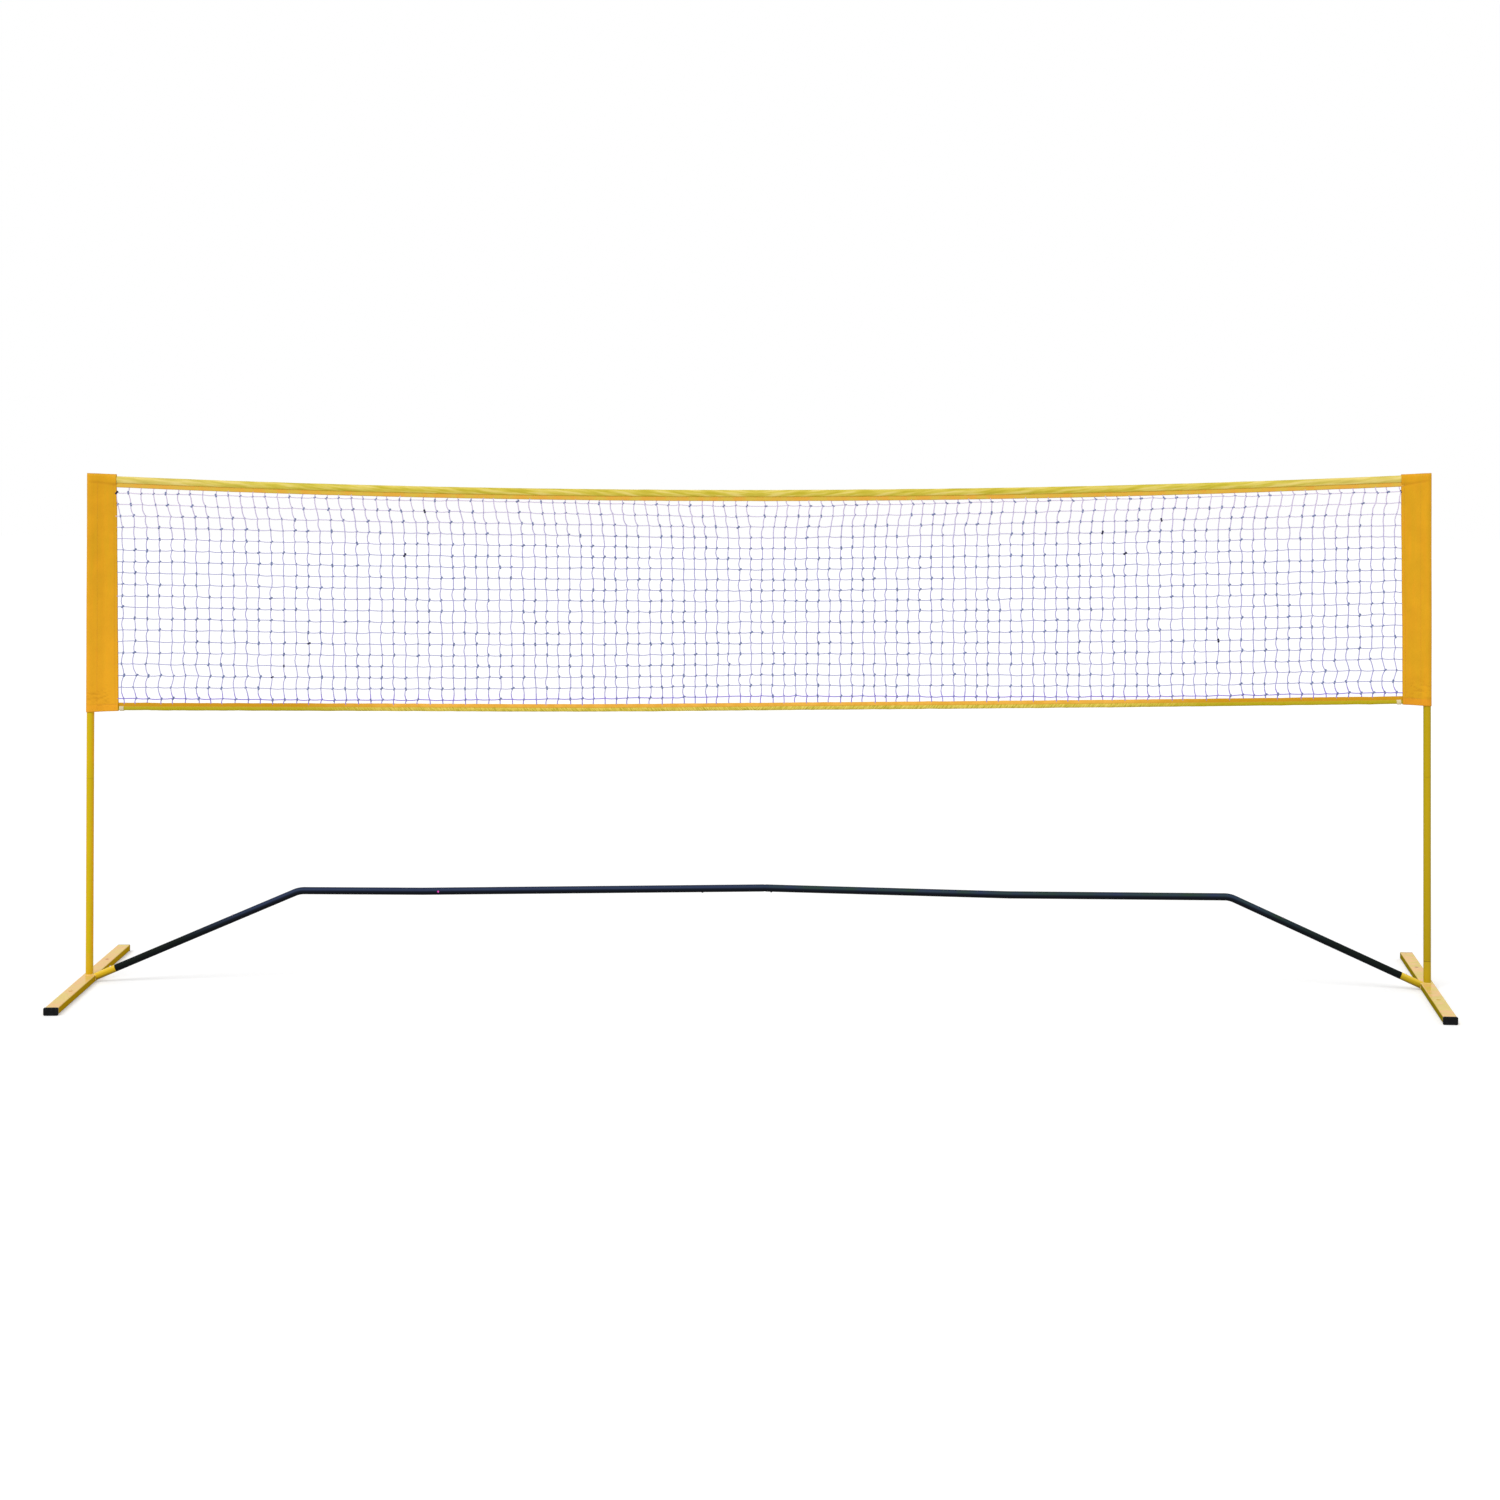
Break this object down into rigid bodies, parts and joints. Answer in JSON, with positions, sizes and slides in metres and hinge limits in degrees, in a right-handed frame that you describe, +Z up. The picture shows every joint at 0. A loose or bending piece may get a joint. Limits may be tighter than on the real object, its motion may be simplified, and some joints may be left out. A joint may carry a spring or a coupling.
{
  "type": "volleyball net on poles",
  "caption": "Free-standing portable volleyball net: two plug-in posts on flat feet, a raised ground bar between them and a net sleeved over the posts.",
  "frame": {"origin": "on the floor, midway between the two posts, in the plane of the net", "axes": "+X along the net towards the right post, +Y away from the front, +Z up"},
  "size_m": [4.1628, 1.0307, 1.557],
  "materials": {
    "yellow_paint": "glossy powder coat on steel tube",
    "black_paint": "satin black paint on steel tube",
    "cap_plastic": "moulded black polyethylene",
    "button_steel": "zinc plated",
    "spring_steel": "bare spring steel",
    "sleeve_fabric": "coated polyester, plain weave",
    "top_tape_fabric": "coated polyester, two-tone fold",
    "bottom_tape_fabric": "coated polyester, two-tone fold",
    "twine": "knotted nylon twine",
    "cord": "braided cord"
  },
  "bodies": {
    "frame": {"left_foot_beam": "yellow_paint", "left_post_socket": "yellow_paint", "left_bar_socket": "yellow_paint", "right_foot_beam": "yellow_paint", "right_post_socket": "yellow_paint", "right_bar_socket": "yellow_paint", "left_foot_front_cap": "cap_plastic", "left_foot_back_cap": "cap_plastic", "right_foot_front_cap": "cap_plastic", "right_foot_back_cap": "cap_plastic", "left_end_tube": "black_paint", "left_corner_tube": "black_paint", "left_middle_tube": "black_paint", "centre_coupler": "black_paint", "right_middle_tube": "black_paint", "right_corner_tube": "black_paint", "right_end_tube": "black_paint", "left_foot_spring": "spring_steel", "left_end_spring": "spring_steel", "left_corner_spring": "spring_steel", "left_coupler_spring": "spring_steel", "right_foot_spring": "spring_steel", "right_end_spring": "spring_steel", "right_corner_spring": "spring_steel", "right_coupler_spring": "spring_steel"},
    "left_lower_post_body": {"left_lower_post": "yellow_paint"},
    "right_lower_post_body": {"right_lower_post": "yellow_paint"},
    "left_upper_post_body": {"left_upper_post": "yellow_paint", "left_post_cap": "cap_plastic"},
    "right_upper_post_body": {"right_upper_post": "yellow_paint", "right_post_cap": "cap_plastic"},
    "net": {"netting": "twine", "top_tape": "top_tape_fabric", "bottom_tape": "bottom_tape_fabric", "head_cord": "cord", "foot_cord": "cord", "left_sleeve": "sleeve_fabric", "right_sleeve": "sleeve_fabric"},
    "left_foot_button_body": {"left_foot_button": "button_steel"},
    "left_end_button_body": {"left_end_button": "button_steel"},
    "left_corner_button_body": {"left_corner_button": "button_steel"},
    "left_coupler_button_body": {"left_coupler_button": "button_steel"},
    "right_foot_button_body": {"right_foot_button": "button_steel"},
    "right_end_button_body": {"right_end_button": "button_steel"},
    "right_corner_button_body": {"right_corner_button": "button_steel"},
    "right_coupler_button_body": {"right_coupler_button": "button_steel"}
  },
  "joints": [
    {"name": "left_post_lift", "type": "slide", "parent": "frame", "child": "left_lower_post_body", "axis": [0, 0, 1], "range_m": [0, 0.075]},
    {"name": "right_post_lift", "type": "slide", "parent": "frame", "child": "right_lower_post_body", "axis": [0, 0, 1], "range_m": [0, 0.075]},
    {"name": "left_top_tube_lift", "type": "slide", "parent": "left_lower_post_body", "child": "left_upper_post_body", "axis": [0, 0, 1], "range_m": [0, 0.065]},
    {"name": "right_top_tube_lift", "type": "slide", "parent": "right_lower_post_body", "child": "right_upper_post_body", "axis": [0, 0, 1], "range_m": [0, 0.065]},
    {"name": "net_lift", "type": "slide", "parent": "left_upper_post_body", "child": "net", "axis": [0, 0, 1], "range_m": [0, 0.74]},
    {"name": "left_foot_button_press", "type": "slide", "parent": "frame", "child": "left_foot_button_body", "axis": [0.3913, 0, -0.9203], "range_m": [0, 0.0036], "stiffness_N_per_m": 400, "springref_m": -0.004, "deforming": ["left_foot_spring"]},
    {"name": "left_end_button_press", "type": "slide", "parent": "frame", "child": "left_end_button_body", "axis": [0.3913, 0, -0.9203], "range_m": [0, 0.0036], "stiffness_N_per_m": 400, "springref_m": -0.004, "deforming": ["left_end_spring"]},
    {"name": "left_corner_button_press", "type": "slide", "parent": "frame", "child": "left_corner_button_body", "axis": [0, 1, 0], "range_m": [0, 0.0036], "stiffness_N_per_m": 400, "springref_m": -0.004, "deforming": ["left_corner_spring"]},
    {"name": "left_coupler_button_press", "type": "slide", "parent": "frame", "child": "left_coupler_button_body", "axis": [-0.0152, 0, 0.9999], "range_m": [0, 0.0036], "stiffness_N_per_m": 400, "springref_m": -0.004, "deforming": ["left_coupler_spring"]},
    {"name": "right_foot_button_press", "type": "slide", "parent": "frame", "child": "right_foot_button_body", "axis": [-0.4142, 0, -0.9102], "range_m": [0, 0.0036], "stiffness_N_per_m": 400, "springref_m": -0.004, "deforming": ["right_foot_spring"]},
    {"name": "right_end_button_press", "type": "slide", "parent": "frame", "child": "right_end_button_body", "axis": [-0.4142, 0, -0.9102], "range_m": [0, 0.0036], "stiffness_N_per_m": 400, "springref_m": -0.004, "deforming": ["right_end_spring"]},
    {"name": "right_corner_button_press", "type": "slide", "parent": "frame", "child": "right_corner_button_body", "axis": [0, -1, 0], "range_m": [0, 0.0036], "stiffness_N_per_m": 400, "springref_m": -0.004, "deforming": ["right_corner_spring"]},
    {"name": "right_coupler_button_press", "type": "slide", "parent": "frame", "child": "right_coupler_button_body", "axis": [0.0228, 0, 0.9997], "range_m": [0, 0.0036], "stiffness_N_per_m": 400, "springref_m": -0.004, "deforming": ["right_coupler_spring"]}
  ],
  "couplings": [
    {"joint": "right_post_lift", "follows": "left_post_lift", "ratio": 1},
    {"joint": "right_top_tube_lift", "follows": "left_top_tube_lift", "ratio": 1}
  ]
}
